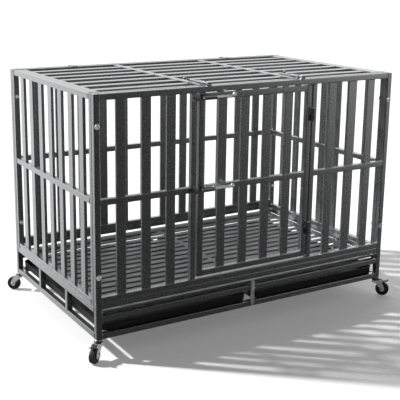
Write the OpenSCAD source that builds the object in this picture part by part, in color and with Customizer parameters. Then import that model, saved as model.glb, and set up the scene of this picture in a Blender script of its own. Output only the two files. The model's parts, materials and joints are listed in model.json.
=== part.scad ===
// Heavy duty dog crate: welded tube panels bolted together on a base frame
// with casters, a hinged door, a hinged lid, slide bolts, a slotted floor
// and two pull-out trays. Front is -Y, left is -X, the floor is Z = 0.

/* [Overall] */
// Length over the tubes, left to right
crate_l = 1220; // [1140:10:1320]
// Depth over the tubes, front to back
crate_w = 740; // [680:10:800]
// Height of the wall panels
panel_h = 680; // [620:10:760]
// Height of the base frame under the wall panels
base_h = 124; // [124:1:150]
// Height of the casters under the base frame
caster_h = 72; // [72:1:80]

/* [Tubes] */
// Side of the square frame tube
tube = 20; // [20:1:22]
// Wall of the square frame tube
tube_wall = 1; // [0.8:0.1:1.5]
// Width of the flat slat tube
slat_w = 33; // [24:1:34]
// Thickness of the flat slat tube
slat_t = 10; // [8:1:12]
// Wall of the flat slat tube
slat_wall = 0.8; // [0.6:0.1:1.2]

/* [Panels] */
// Height of the middle rails' underside above the panel's foot
mid_z = 326; // [300:2:350]
// Slats in each half of the front, beside the door
front_n = 3; // [2:1:3]
// Slats across the rear
rear_n = 12; // [10:1:13]
// Slats across each short side
side_n = 7; // [6:1:7]
// Depth of the short sides' foot under the front's and rear's foot
side_drop = 13; // [8:1:14]
// Height of the lower corner bolts above the panel's foot
bolt_lo = 90; // [60:5:120]
// Height of the upper corner bolts above the panel's foot
bolt_hi = 580; // [540:5:600]

/* [Door] */
// Inner face of each door stile from the middle
open_x = 238.5; // [225:0.5:245]
// Gap between the door and its left stile
gap_l = 8.5; // [7:0.5:10]
// Gap between the door and its hinge stile
gap_r = 4.5; // [4:0.5:6]
// Gap under the door
gap_b = 8; // [5:1:12]
// Gap over the door
gap_t = 4; // [3:1:8]
// Slats in the door
door_n = 4; // [3:1:4]
// Height of the lower hinge above the panel's foot
hinge_lo = 134; // [110:2:160]
// Height of the upper hinge above the panel's foot
hinge_hi = 553; // [520:2:570]

/* [Lid] */
// Gap all round the lid
lid_gap = 4; // [3:0.5:5]
// Slats in the lid
lid_n = 7; // [6:1:7]
// Distance of each crossbar from the middle
cross_x = 193.3; // [180:0.1:210]
// Depth of the slats under the lid's top face
lid_drop = 2; // [1:0.5:4]
// Distance of each lid hinge from the middle
lid_hinge_x = 350; // [250:10:450]

/* [Base and trays] */
// Underside of the base's middle rails above the base's foot
base_mid = 60; // [60:1:62]
// Height of the floor sheet's folded sides
floor_h = 14; // [12:1:20]
// Height of the floor sheet's folded front and rear lips
floor_lip = 6; // [5:1:8]
// Pitch of the floor's slots
slot_pitch = 43.5; // [40:0.5:46]
// Width of the floor's slots
slot_w = 14; // [9:0.5:16]
// Rows of slots
slot_n = 15; // [9:1:15]
// Height of a tray
tray_h = 26.5; // [25:0.1:30]

/* [Casters] */
// Radius of the wheel
wheel_r = 26; // [24:0.5:26]
// Width of the wheel
wheel_w = 20; // [16:1:20]
// Distance of the wheel behind its swivel axis
trail = 28; // [26:1:30]
// Direction of the front left caster
ang_fl = 218; // [0:1:359]
// Direction of the front right caster
ang_fr = 317; // [0:1:359]

/* [Hidden] */
$fn = 48;

coat = [0.34, 0.345, 0.35];
zinc = [0.75, 0.76, 0.77];
dark = [0.08, 0.08, 0.09];

hx = crate_l/2;           // half length
hy = crate_w/2;           // half depth
px = hx - tube/2;         // post centres
py = hy - tube/2;
ix = hx - tube;           // inner faces of the posts
iy = hy - tube;
zb = caster_h;            // foot of the base
z0 = zb + base_h;         // foot of the panels
z1 = z0 + panel_h;        // top of the panels
zm = z0 + mid_z;          // underside of the middle rails
zs = z0 - side_drop;      // foot of the short sides
seam = 0.02;              // weld seam between the tubes of one frame
sx = open_x + tube/2;     // door stile centres
dx0 = -open_x + gap_l;    // door, left edge
dx1 = open_x - gap_r;     // door, hinge edge
dz0 = z0 + tube + gap_b;  // door, bottom
dz1 = z1 - tube - gap_t;  // door, top
lx = ix - lid_gap;        // lid, half length
ly = iy - lid_gap;        // lid, half depth
floor_z = zb + base_mid + tube + floor_h;

// ---- hinges
pin_r = 4;
barrel_r = 6.5;
axis_off = 7;             // axis in front of the face it is welded to
leaf_w = 12;
leaf_t = 2;
half_h = 23;              // half of a hinge's height
hinge_x = open_x - gap_r/2;
hinge_y = -hy - axis_off;
lid_axis_y = hy + axis_off;
lid_axis_z = z1 - axis_off;

// ---- slide bolts: local X is the way the rod shoots, local Z stands off the face
// [rod radius, rod height over the face, barrel radius, way through the keeper, keeper width]
big = [5, 9.8, 9.6, 11.6, 20];   // on the door
low = [4, 5.5, 7, 9, 17];        // on the lid
house_l = 45;             // barrel
keep_l = 18;              // keeper
knob_x = -105;            // handle, drawn back
door_bolt_x = dx0 + 10;   // front end of the door bolts' barrels
lid_bolt_y = -ly + 2;     // front end of the lid bolts' barrels
bolt_top_z = dz1 - tube/2;
bolt_mid_z = zm + tube/2;

// ================= tubes =================
module tube_x(x0, x1, y, z, dy = tube, dz = tube, t = tube_wall)
  translate([x0, y - dy/2, z - dz/2]) difference() {
    cube([x1 - x0, dy, dz]);
    translate([-1, t, t]) cube([x1 - x0 + 2, dy - 2*t, dz - 2*t]);
  }

module tube_y(y0, y1, x, z, dx = tube, dz = tube, t = tube_wall)
  translate([x - dx/2, y0, z - dz/2]) difference() {
    cube([dx, y1 - y0, dz]);
    translate([t, -1, t]) cube([dx - 2*t, y1 - y0 + 2, dz - 2*t]);
  }

module tube_z(x, y, a, b, dx = tube, dy = tube, t = tube_wall)
  translate([x - dx/2, y - dy/2, a]) difference() {
    cube([dx, dy, b - a]);
    translate([t, t, -1]) cube([dx - 2*t, dy - 2*t, b - a + 2]);
  }

// upright tube with a welded cap at its top
module post(x, y, a, b)
  translate([x - tube/2, y - tube/2, a]) difference() {
    cube([tube, tube, b - a]);
    translate([tube_wall, tube_wall, -1]) cube([tube - 2*tube_wall, tube - 2*tube_wall, b - a + 1 - tube_wall]);
  }

// post drilled front to back for the two corner bolts
module drilled_post(x, y, foot) difference() {
  post(x, y, foot, z1);
  for (h = [bolt_lo, bolt_hi])
    translate([x, y + tube, z0 + h]) rotate([90, 0, 0]) cylinder(r = 4.2, h = 2*tube);
}

// centres of n slats spread evenly between a and b
function spread(a, b, n) = let (g = (b - a - n*slat_w)/(n + 1)) [for (i = [0 : n - 1]) a + g + slat_w/2 + i*(g + slat_w)];

// upright slats under and over the middle rail
module slats_x(xs, y, lo, hi) for (x = xs) {
  tube_z(x, y, lo, zm, slat_w, slat_t, slat_wall);
  tube_z(x, y, zm + tube, hi, slat_w, slat_t, slat_wall);
}
module slats_y(ys, x) for (y = ys) {
  tube_z(x, y, zs + tube, zm, slat_t, slat_w, slat_wall);
  tube_z(x, y, zm + tube, z1 - tube, slat_t, slat_w, slat_wall);
}

// ================= base =================
module base_posts() color(coat)
  for (x = [-px, px], y = [-py, py]) post(x, y, zb, z0);

module base_bottom_rails() color(coat) {
  for (y = [-py, py]) tube_x(-ix, ix, y, zb + tube/2);
  for (x = [-px, px]) tube_y(-iy, iy, x, zb + tube/2);
}

module base_mid_rails() color(coat) {
  difference() {
    tube_x(-ix, ix, -py, zb + base_mid + tube/2);
    translate([0, -hy - 5, zb + base_mid + tube/2]) rotate([-90, 0, 0]) cylinder(r = 4.2, h = tube + 10);
  }
  tube_x(-ix, ix, py, zb + base_mid + tube/2);
}

module base_side_posts() color(coat)
  for (x = [-px, px], y = [-iy*0.35, iy*0.35]) tube_z(x, y, zb + tube, zs - tube);

module base_top_rails() color(coat) {
  for (y = [-py, py]) tube_x(-ix, ix, y, z0 - tube/2);
  for (x = [-px, px]) tube_y(-iy, iy, x, zs - tube/2);
}

// folded sheet with two slots in each row, left and right of a middle web
module floor_panel() color([0.72, 0.73, 0.74]) {
  fx = ix - 7;
  s0 = 7.5 + slot_w/2;
  s1 = fx - 37 - slot_w/2;
  difference() {
    translate([-fx, -py, floor_z - floor_h]) cube([2*fx, 2*py, floor_h]);
    translate([-fx + 1, -py + 1, floor_z - floor_h - 1]) cube([2*fx - 2, 2*py - 2, floor_h]);
    translate([-fx + 1, -py - 1, floor_z - floor_h - 1]) cube([2*fx - 2, 2*py + 2, floor_h + 1 - floor_lip]);
    for (i = [0 : slot_n - 1], m = [-1, 1]) translate([0, (i - (slot_n - 1)/2)*slot_pitch, floor_z - 3]) {
      translate([m > 0 ? s0 : -s1, -slot_w/2, 0]) cube([s1 - s0, slot_w, 6]);
      for (x = [s0, s1]) translate([m*x, 0, 0]) cylinder(r = slot_w/2, h = 6);
    }
  }
}

// ================= wall panels =================
module front_frame() color(coat) {
  for (x = [-px, px]) drilled_post(x, -py, z0);
  for (z = [z0 + tube/2, z1 - tube/2]) tube_x(-ix + seam, ix - seam, -py, z);
  for (x = [-sx, sx]) tube_z(x, -py, z0 + tube + seam, z1 - tube - seam);
  for (m = [-1, 1]) {
    a = open_x + tube + seam;
    b = ix - seam;
    tube_x(m > 0 ? a : -b, m > 0 ? b : -a, -py, zm + tube/2);
  }
}

module front_slats() color(coat) for (m = [-1, 1]) {
  a = open_x + tube;
  slats_x([for (x = spread(a, ix, front_n)) m*x], -py, z0 + tube, z1 - tube);
}

module rear_frame() color(coat) {
  for (x = [-px, px]) drilled_post(x, py, z0);
  for (z = [z0 + tube/2, zm + tube/2, z1 - tube/2]) tube_x(-ix + seam, ix - seam, py, z);
}

module rear_slats() color(coat) slats_x(spread(-ix, ix, rear_n), py, z0 + tube, z1 - tube);

module side_frame(x) {
  yp = iy - tube/2;
  for (y = [-yp, yp]) drilled_post(x, y, zs);
  for (z = [zs + tube/2, zm + tube/2, z1 - tube/2]) tube_y(-yp + tube/2 + seam, yp - tube/2 - seam, x, z);
}
module left_frame() color(coat) side_frame(-px);
module right_frame() color(coat) side_frame(px);
module left_slats() color(coat) slats_y(spread(-iy + tube, iy - tube, side_n), -px);
module right_slats() color(coat) slats_y(spread(-iy + tube, iy - tube, side_n), px);

// domed head, washer and shank along +Y, under its head at the origin
module corner_bolt() rotate([-90, 0, 0]) rotate_extrude()
  polygon([[0, -6.4], [3, -6.2], [5.6, -5.2], [7.2, -3.4], [7.6, -1.4], [9.5, -1.4], [9.5, 0], [4, 0], [4, 49], [3.2, 50], [0, 50]]);

module corner_bolts() color(zinc)
  for (x = [-px, px], h = [bolt_lo, bolt_hi]) {
    translate([x, -hy, z0 + h]) corner_bolt();
    translate([x, hy, z0 + h]) rotate([0, 0, 180]) corner_bolt();
  }

module corner_nuts() color(zinc)
  for (x = [-px, px], h = [bolt_lo, bolt_hi], m = [-1, 1])
    translate([x, m > 0 ? iy - tube : -iy + tube + 6.5, z0 + h]) rotate([90, 0, 0]) difference() {
      cylinder(r = 7.5, h = 6.5, $fn = 6);
      translate([0, 0, -1]) cylinder(r = 4.05, h = 9);
    }

// ================= hinges =================
// one half of a weld-on hinge about local Z, with its leaf on one side
module hinge_half(a, b, side, bore) difference() {
  union() {
    translate([0, 0, a]) cylinder(r = barrel_r, h = b - a);
    translate([side > 0 ? 0 : -leaf_w, axis_off - leaf_t, a]) cube([leaf_w, leaf_t, b - a]);
  }
  translate([0, 0, a - 1]) cylinder(r = bore, h = b - a + 2);
}
// pin with a turned button at its upper end
module hinge_pin() {
  translate([0, 0, -half_h]) cylinder(r = pin_r, h = 2*half_h + 1);
  translate([0, 0, half_h + 0.4]) cylinder(r = 5.6, h = 2);
}
// puts a hinge about local Z behind the rear panel's top rail, local X down
module on_lid_axis(x) translate([x, lid_axis_y, lid_axis_z]) rotate([0, 90, 0]) rotate([180, 0, 0]) children();
// moving half with a strap that runs over the rear rail to the lid
module hinge_strap(a, b, bore) {
  reach = lid_axis_y - ly;
  difference() {
    union() {
      translate([0, 0, a]) cylinder(r = barrel_r, h = b - a);
      translate([-axis_off - 2.3, -3, a]) cube([axis_off - 1, 6, b - a]);
    }
    translate([0, 0, a - 1]) cylinder(r = bore, h = b - a + 2);
  }
  translate([-axis_off - 2.3, 3, a]) cube([2, reach + 13, b - a]);
  translate([-axis_off - 0.3, reach, a]) cube([0.3, 16, b - a]);
}

module door_hinge_fixed() color(dark) for (h = [hinge_lo, hinge_hi])
  translate([hinge_x, hinge_y, z0 + h]) hinge_half(-half_h, -0.3, 1, pin_r + 0.01);
module door_hinge_leaves() color(dark) for (h = [hinge_lo, hinge_hi])
  translate([hinge_x, hinge_y, z0 + h]) hinge_half(0.3, half_h, -1, pin_r + 0.06);
module door_hinge_pins() color(zinc) for (h = [hinge_lo, hinge_hi])
  translate([hinge_x, hinge_y, z0 + h]) hinge_pin();

module lid_hinge_fixed() color(coat) for (x = [-lid_hinge_x, lid_hinge_x])
  on_lid_axis(x) hinge_half(-half_h, -0.3, 1, pin_r + 0.01);
module lid_hinge_leaves() color(coat) for (x = [-lid_hinge_x, lid_hinge_x])
  on_lid_axis(x) hinge_strap(0.3, half_h, pin_r + 0.06);
module lid_hinge_pins() color(zinc) for (x = [-lid_hinge_x, lid_hinge_x])
  on_lid_axis(x) hinge_pin();

// ================= door =================
module door_frame() color(coat) {
  for (x = [dx0 + tube/2, dx1 - tube/2]) post(x, -py, dz0, dz1);
  for (z = [dz0 + tube/2, zm + tube/2, dz1 - tube/2]) tube_x(dx0 + tube + seam, dx1 - tube - seam, -py, z);
}
module door_slats() color(coat)
  slats_x(spread(dx0 + tube, dx1 - tube, door_n), -py, dz0 + tube, dz1 - tube);

// ================= slide bolts =================
module rod_bar(a, b, z, r) translate([a, 0, z]) rotate([0, 90, 0]) cylinder(r = r, h = b - a);
// barrel welded to the rail along its foot
module bolt_housing(k) difference() {
  union() {
    translate([-house_l, -0.62*k[2], 0]) cube([house_l, 1.24*k[2], k[1]]);
    intersection() {
      rod_bar(-house_l, 0, k[1], k[2]);
      translate([-house_l, -20, 0]) cube([house_l, 40, 40]);
    }
  }
  rod_bar(-house_l - 1, 1, k[1], k[0] + 0.08);
}
// strap with a square way through it
module bolt_keeper(k, a) difference() {
  translate([a, -k[4]/2, 0]) cube([keep_l, k[4], k[1] + k[3]/2 + 0.3*k[0] + 1]);
  translate([a - 1, -k[3]/2, k[1] - k[3]/2]) cube([keep_l + 2, k[3], k[3]]);
}
// rod with a turned tip, and a handle that leans over by an angle
module bolt_rod(k, tip, lean) {
  rod_bar(knob_x - 5, tip - 2, k[1], k[0]);
  translate([tip - 2, 0, k[1]]) rotate([0, 90, 0]) cylinder(r1 = k[0], r2 = k[0] - 1.6, h = 2);
  translate([knob_x, 0, k[1]]) rotate([lean, 0, 0]) {
    cylinder(r = k[0] - 1, h = 4.4*k[0]);
    translate([0, 0, 4.4*k[0]]) sphere(r = 1.3*k[0]);
  }
}
module on_door(z) translate([door_bolt_x, -hy, z]) rotate([90, 0, 0]) rotate([0, 0, 180]) children();
module on_lid(x) translate([x, lid_bolt_y, z1]) rotate([0, 0, -90]) children();

module door_bolt_housings() color(coat) { on_door(bolt_top_z) bolt_housing(big); on_door(bolt_mid_z) bolt_housing(big); }
module door_keepers() color(coat) { on_door(bolt_top_z) bolt_keeper(big, gap_l + 11.5); on_door(bolt_mid_z) bolt_keeper(big, gap_l + 11.5); }
module door_bolt_top() color(zinc) on_door(bolt_top_z) bolt_rod(big, 3, 20);
module door_bolt_mid() color(zinc) on_door(bolt_mid_z) bolt_rod(big, 3, 20);
module lid_bolt_housings() color(coat) for (x = [-cross_x, cross_x]) on_lid(x) bolt_housing(low);
module lid_keepers() color(coat) for (x = [-cross_x, cross_x]) on_lid(x) bolt_keeper(low, lid_gap + 3);
module lid_bolt_left() color(coat) on_lid(-cross_x) bolt_rod(low, 3, 70);
module lid_bolt_right() color(coat) on_lid(cross_x) bolt_rod(low, 3, -70);

// ================= lid =================
module lid_frame() color(coat) {
  zt = z1 - tube/2;
  for (y = [-ly + tube/2, ly - tube/2]) tube_x(-lx, lx, y, zt);
  for (x = [-lx + tube/2, -cross_x, cross_x, lx - tube/2]) tube_y(-ly + tube + seam, ly - tube - seam, x, zt);
  // welded caps close the ends of the two long rails
  for (x = [-lx + tube_wall/2, lx - tube_wall/2], y = [-ly + tube/2, ly - tube/2])
    translate([x, y, zt]) cube([tube_wall, tube - tube_wall, tube - tube_wall], center = true);
}
module lid_slats() color(coat)
  for (y = spread(-iy + tube, iy - tube, lid_n)) {
    zc = z1 - lid_drop - slat_t/2;
    tube_x(-lx + tube, -cross_x - tube/2, y, zc, slat_w, slat_t, slat_wall);
    tube_x(-cross_x + tube/2, cross_x - tube/2, y, zc, slat_w, slat_t, slat_wall);
    tube_x(cross_x + tube/2, lx - tube, y, zc, slat_w, slat_t, slat_wall);
  }

// ================= trays =================
// solid between a rounded rectangle drawn in by a, and one drawn in by b
module frustum(x0, x1, y0, y1, za, zc, a, b, r) hull()
  for (e = [[za, a], [zc - 0.01, b]], x = [x0 + e[1] + r, x1 - e[1] - r], y = [y0 + e[1] + r, y1 - e[1] - r])
    translate([x, y, e[0]]) cylinder(r = r, h = 0.01, $fn = 32);

// pan with upright walls, a rounded foot and a rim that stands out at the top
module tray(x0, x1) {
  y0 = -py;
  y1 = py + 8;
  za = zb + tube + 0.3;
  difference() {
    union() {
      frustum(x0, x1, y0, y1, za, za + 7, 7, 2.2, 25);
      frustum(x0, x1, y0, y1, za + 7, za + tray_h - 4, 2.2, 1.6, 27);
      frustum(x0, x1, y0, y1, za + tray_h - 4, za + tray_h, 0, 0.6, 28);
    }
    frustum(x0, x1, y0, y1, za + 2.7, za + tray_h + 1, 9.5, 4.2, 22);
  }
}
module tray_left() color(dark) tray(-ix + 3, -9.5);
module tray_right() color(dark) tray(9.5, ix - 3);

lock_z = zb + base_mid + tube/2;
module tray_lock_bar() color([0.80, 0.80, 0.79]) difference() {
  union() {
    translate([-7.8, -hy - 5, zb + 12.8]) cube([15.6, 4, 79.4]);
    for (z = [zb + 12.8, zb + 92.2]) translate([0, -hy - 1, z]) rotate([90, 0, 0]) cylinder(r = 7.8, h = 4);
  }
  translate([0, -hy, lock_z]) rotate([90, 0, 0]) cylinder(r = 4.06, h = 10);
}
// button head and shank, spacer washer, and nut behind the rail
module tray_lock_bolt() color(zinc) {
  translate([0, -hy - 5.3, lock_z]) rotate([-90, 0, 0]) rotate_extrude()
    polygon([[0, -4.5], [2.5, -4.3], [5, -3.3], [6.6, -1.6], [7, 0], [4, 0], [4, tube + 13], [0, tube + 13]]);
  translate([0, -hy, lock_z]) rotate([90, 0, 0]) difference() {
    cylinder(r = 7, h = 0.8);
    translate([0, 0, -1]) cylinder(r = 4.05, h = 3);
  }
  translate([0, -iy + 6.5, lock_z]) rotate([90, 0, 0]) difference() {
    cylinder(r = 7.5, h = 6.5, $fn = 6);
    translate([0, 0, -1]) cylinder(r = 4.05, h = 9);
  }
}

// ================= casters =================
ct = caster_h;            // top of a caster
module caster_inserts() color(dark) for (x = [-px, px], y = [-py, py])
  translate([x, y, zb]) difference() {
    w = tube - 2*tube_wall;
    translate([-w/2, -w/2, 0]) cube([w, w, 18]);
    translate([0, 0, -1]) cylinder(r = 5.05, h = 20);
  }

// threaded stem, washer under the post, neck and riveted pin
module caster_stems() color(zinc) for (x = [-px, px], y = [-py, py])
  translate([x, y, 0]) rotate_extrude()
    polygon([[0, ct - 19], [5, ct - 19], [7, ct - 17.6], [7, ct - 16], [4, ct - 16], [4, ct - 10], [6, ct - 10],
             [6, ct - 1.8], [13, ct - 1.8], [13, ct], [5, ct], [5, ct + 17], [4, ct + 18], [0, ct + 18]]);

// domed swivel head around the neck
module caster_caps() color(dark) for (x = [-px, px], y = [-py, py])
  translate([x, y, 0]) rotate_extrude()
    polygon([[6.05, ct - 10], [14.5, ct - 10], [14.5, ct - 7], [13.8, ct - 5], [12.2, ct - 3], [10, ct - 1.8], [6.05, ct - 1.8]]);

module at_caster(x, y, a) translate([x, y, 0]) rotate([0, 0, a]) children();

// side plate of a fork in the wheel's plane
module fork_leg(y) translate([0, y, 0]) rotate([90, 0, 0]) linear_extrude(2.2)
  polygon([[-13, ct - 11], [25, ct - 11], [27, ct - 19], [trail + 9.5, wheel_r + 3], [trail + 6.5, wheel_r - 6.5],
           [trail, wheel_r - 9], [trail - 6.5, wheel_r - 6.5], [trail - 9.5, wheel_r + 3], [-2, ct - 21], [-13, ct - 17]]);
module fork(pedal) difference() {
  union() {
    fork_leg(13.5);
    fork_leg(-11.3);
    translate([-13, -13.5, ct - 14.5]) cube([28, 27, 3.5]);
    if (pedal) translate([20, 13.5, ct - 15]) rotate([90, 0, 0]) cylinder(r = 1.5, h = 27);
  }
  translate([0, 0, ct - 30]) cylinder(r = 4.06, h = 30);
  translate([trail, 20, wheel_r]) rotate([90, 0, 0]) cylinder(r = 4.05, h = 40);
}
module axle() translate([trail, 0, wheel_r]) rotate([90, 0, 0]) rotate_extrude()
  polygon([[0, -15.6], [5, -15.6], [6.5, -14.6], [6.5, -13.55], [4, -13.55], [4, 13.55], [6.5, 13.55], [6.5, 14.6], [5, 15.6], [0, 15.6]]);
module hub() translate([trail, 0, wheel_r]) rotate([90, 0, 0]) rotate_extrude()
  polygon([[4.06, -11], [7.5, -11], [7.5, -wheel_w/2 + 3], [14, -wheel_w/2 + 3], [15, -wheel_w/2 + 1], [17, -wheel_w/2 + 1],
           [17, wheel_w/2 - 1], [15, wheel_w/2 - 1], [14, wheel_w/2 - 3], [7.5, wheel_w/2 - 3], [7.5, 11], [4.06, 11]]);
module tyre() translate([trail, 0, wheel_r]) rotate([90, 0, 0]) rotate_extrude($fn = 96)
  polygon([[17.02, -wheel_w/2 + 0.6], [19, -wheel_w/2], [22.5, -wheel_w/2], [wheel_r - 1.6, -wheel_w/2 + 1.4], [wheel_r - 0.4, -wheel_w/2 + 3.4],
           [wheel_r, -wheel_w/2 + 6], [wheel_r, wheel_w/2 - 6], [wheel_r - 0.4, wheel_w/2 - 3.4], [wheel_r - 1.6, wheel_w/2 - 1.4],
           [22.5, wheel_w/2], [19, wheel_w/2], [17.02, wheel_w/2 - 0.6]]);
// brake lever on the fork's cross pin, with a turned-up toe
module pedal() difference() {
  union() {
    translate([20, 9, ct - 15]) rotate([90, 0, 0]) cylinder(r = 3, h = 18);
    translate([20, -9, ct - 16]) cube([23, 18, 2.4]);
    translate([41, 0, ct - 16]) rotate([0, -25, 0]) translate([0, -9, 0]) cube([11, 18, 2.4]);
  }
  translate([20, 15, ct - 15]) rotate([90, 0, 0]) cylinder(r = 1.55, h = 30);
}

module fork_fl() color(zinc) at_caster(-px, -py, ang_fl) fork(true);
module fork_fr() color(zinc) at_caster(px, -py, ang_fr) fork(true);
module fork_rl() color(zinc) at_caster(-px, py, ang_fr + 180) fork(false);
module fork_rr() color(zinc) at_caster(px, py, ang_fl + 180) fork(false);
module axle_fl() color(zinc) at_caster(-px, -py, ang_fl) axle();
module axle_fr() color(zinc) at_caster(px, -py, ang_fr) axle();
module axle_rl() color(zinc) at_caster(-px, py, ang_fr + 180) axle();
module axle_rr() color(zinc) at_caster(px, py, ang_fl + 180) axle();
module hub_fl() color(dark) at_caster(-px, -py, ang_fl) hub();
module hub_fr() color(dark) at_caster(px, -py, ang_fr) hub();
module hub_rl() color(dark) at_caster(-px, py, ang_fr + 180) hub();
module hub_rr() color(dark) at_caster(px, py, ang_fl + 180) hub();
module tyre_fl() color(dark) at_caster(-px, -py, ang_fl) tyre();
module tyre_fr() color(dark) at_caster(px, -py, ang_fr) tyre();
module tyre_rl() color(dark) at_caster(-px, py, ang_fr + 180) tyre();
module tyre_rr() color(dark) at_caster(px, py, ang_fl + 180) tyre();
module pedal_fl() color(dark) at_caster(-px, -py, ang_fl) pedal();
module pedal_fr() color(dark) at_caster(px, -py, ang_fr) pedal();

// ================= assembly =================
base_posts();
base_bottom_rails();
base_mid_rails();
base_side_posts();
base_top_rails();
floor_panel();
front_frame();
front_slats();
rear_frame();
rear_slats();
left_frame();
left_slats();
right_frame();
right_slats();
corner_bolts();
corner_nuts();
door_frame();
door_slats();
door_hinge_fixed();
door_hinge_leaves();
door_hinge_pins();
door_bolt_housings();
door_keepers();
door_bolt_top();
door_bolt_mid();
lid_frame();
lid_slats();
lid_hinge_fixed();
lid_hinge_leaves();
lid_hinge_pins();
lid_bolt_housings();
lid_keepers();
lid_bolt_left();
lid_bolt_right();
tray_left();
tray_right();
tray_lock_bar();
tray_lock_bolt();
caster_inserts();
caster_stems();
caster_caps();
fork_fl();
fork_fr();
fork_rl();
fork_rr();
axle_fl();
axle_fr();
axle_rl();
axle_rr();
hub_fl();
hub_fr();
hub_rl();
hub_rr();
tyre_fl();
tyre_fr();
tyre_rl();
tyre_rr();
pedal_fl();
pedal_fr();
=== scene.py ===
"""Looks of a heavy duty dog crate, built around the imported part."""
import json
import math

import bmesh
import bpy
import numpy as np
from mathutils import Matrix, Vector

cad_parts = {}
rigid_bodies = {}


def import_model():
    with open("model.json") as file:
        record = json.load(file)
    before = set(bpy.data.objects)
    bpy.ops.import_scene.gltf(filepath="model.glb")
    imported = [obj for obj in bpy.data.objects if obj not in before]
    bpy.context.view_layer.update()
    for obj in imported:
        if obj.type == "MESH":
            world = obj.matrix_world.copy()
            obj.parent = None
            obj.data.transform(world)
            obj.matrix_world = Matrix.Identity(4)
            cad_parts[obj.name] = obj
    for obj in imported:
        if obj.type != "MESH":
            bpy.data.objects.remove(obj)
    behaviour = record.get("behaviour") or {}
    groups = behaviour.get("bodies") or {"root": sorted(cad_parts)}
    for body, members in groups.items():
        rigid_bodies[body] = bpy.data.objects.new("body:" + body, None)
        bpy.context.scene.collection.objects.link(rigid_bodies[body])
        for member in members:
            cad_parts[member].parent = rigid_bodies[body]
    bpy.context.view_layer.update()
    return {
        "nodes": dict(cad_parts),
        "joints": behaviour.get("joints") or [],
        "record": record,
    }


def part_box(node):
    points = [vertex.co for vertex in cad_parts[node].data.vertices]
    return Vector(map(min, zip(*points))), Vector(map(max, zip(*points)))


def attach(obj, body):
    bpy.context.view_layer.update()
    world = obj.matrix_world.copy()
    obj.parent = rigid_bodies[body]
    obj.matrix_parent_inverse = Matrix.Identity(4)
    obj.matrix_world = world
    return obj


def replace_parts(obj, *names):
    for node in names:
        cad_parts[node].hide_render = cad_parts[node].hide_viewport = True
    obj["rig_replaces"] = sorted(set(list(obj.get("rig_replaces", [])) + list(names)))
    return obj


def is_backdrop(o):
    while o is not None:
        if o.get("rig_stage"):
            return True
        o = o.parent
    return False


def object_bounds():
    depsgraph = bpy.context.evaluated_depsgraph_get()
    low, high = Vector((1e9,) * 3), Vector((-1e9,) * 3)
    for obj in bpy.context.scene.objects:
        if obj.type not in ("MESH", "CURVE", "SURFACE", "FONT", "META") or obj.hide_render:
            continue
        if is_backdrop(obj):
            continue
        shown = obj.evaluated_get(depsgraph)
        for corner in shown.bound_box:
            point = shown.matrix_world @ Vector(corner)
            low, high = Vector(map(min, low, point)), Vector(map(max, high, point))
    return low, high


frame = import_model()
NODES = frame["nodes"]
BODY_OF = {n: b for b, ns in frame["record"]["behaviour"]["bodies"].items() for n in ns}
MM = 0.001
rng = np.random.default_rng(7)

# ------------------------------------------------------------------ materials


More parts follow.
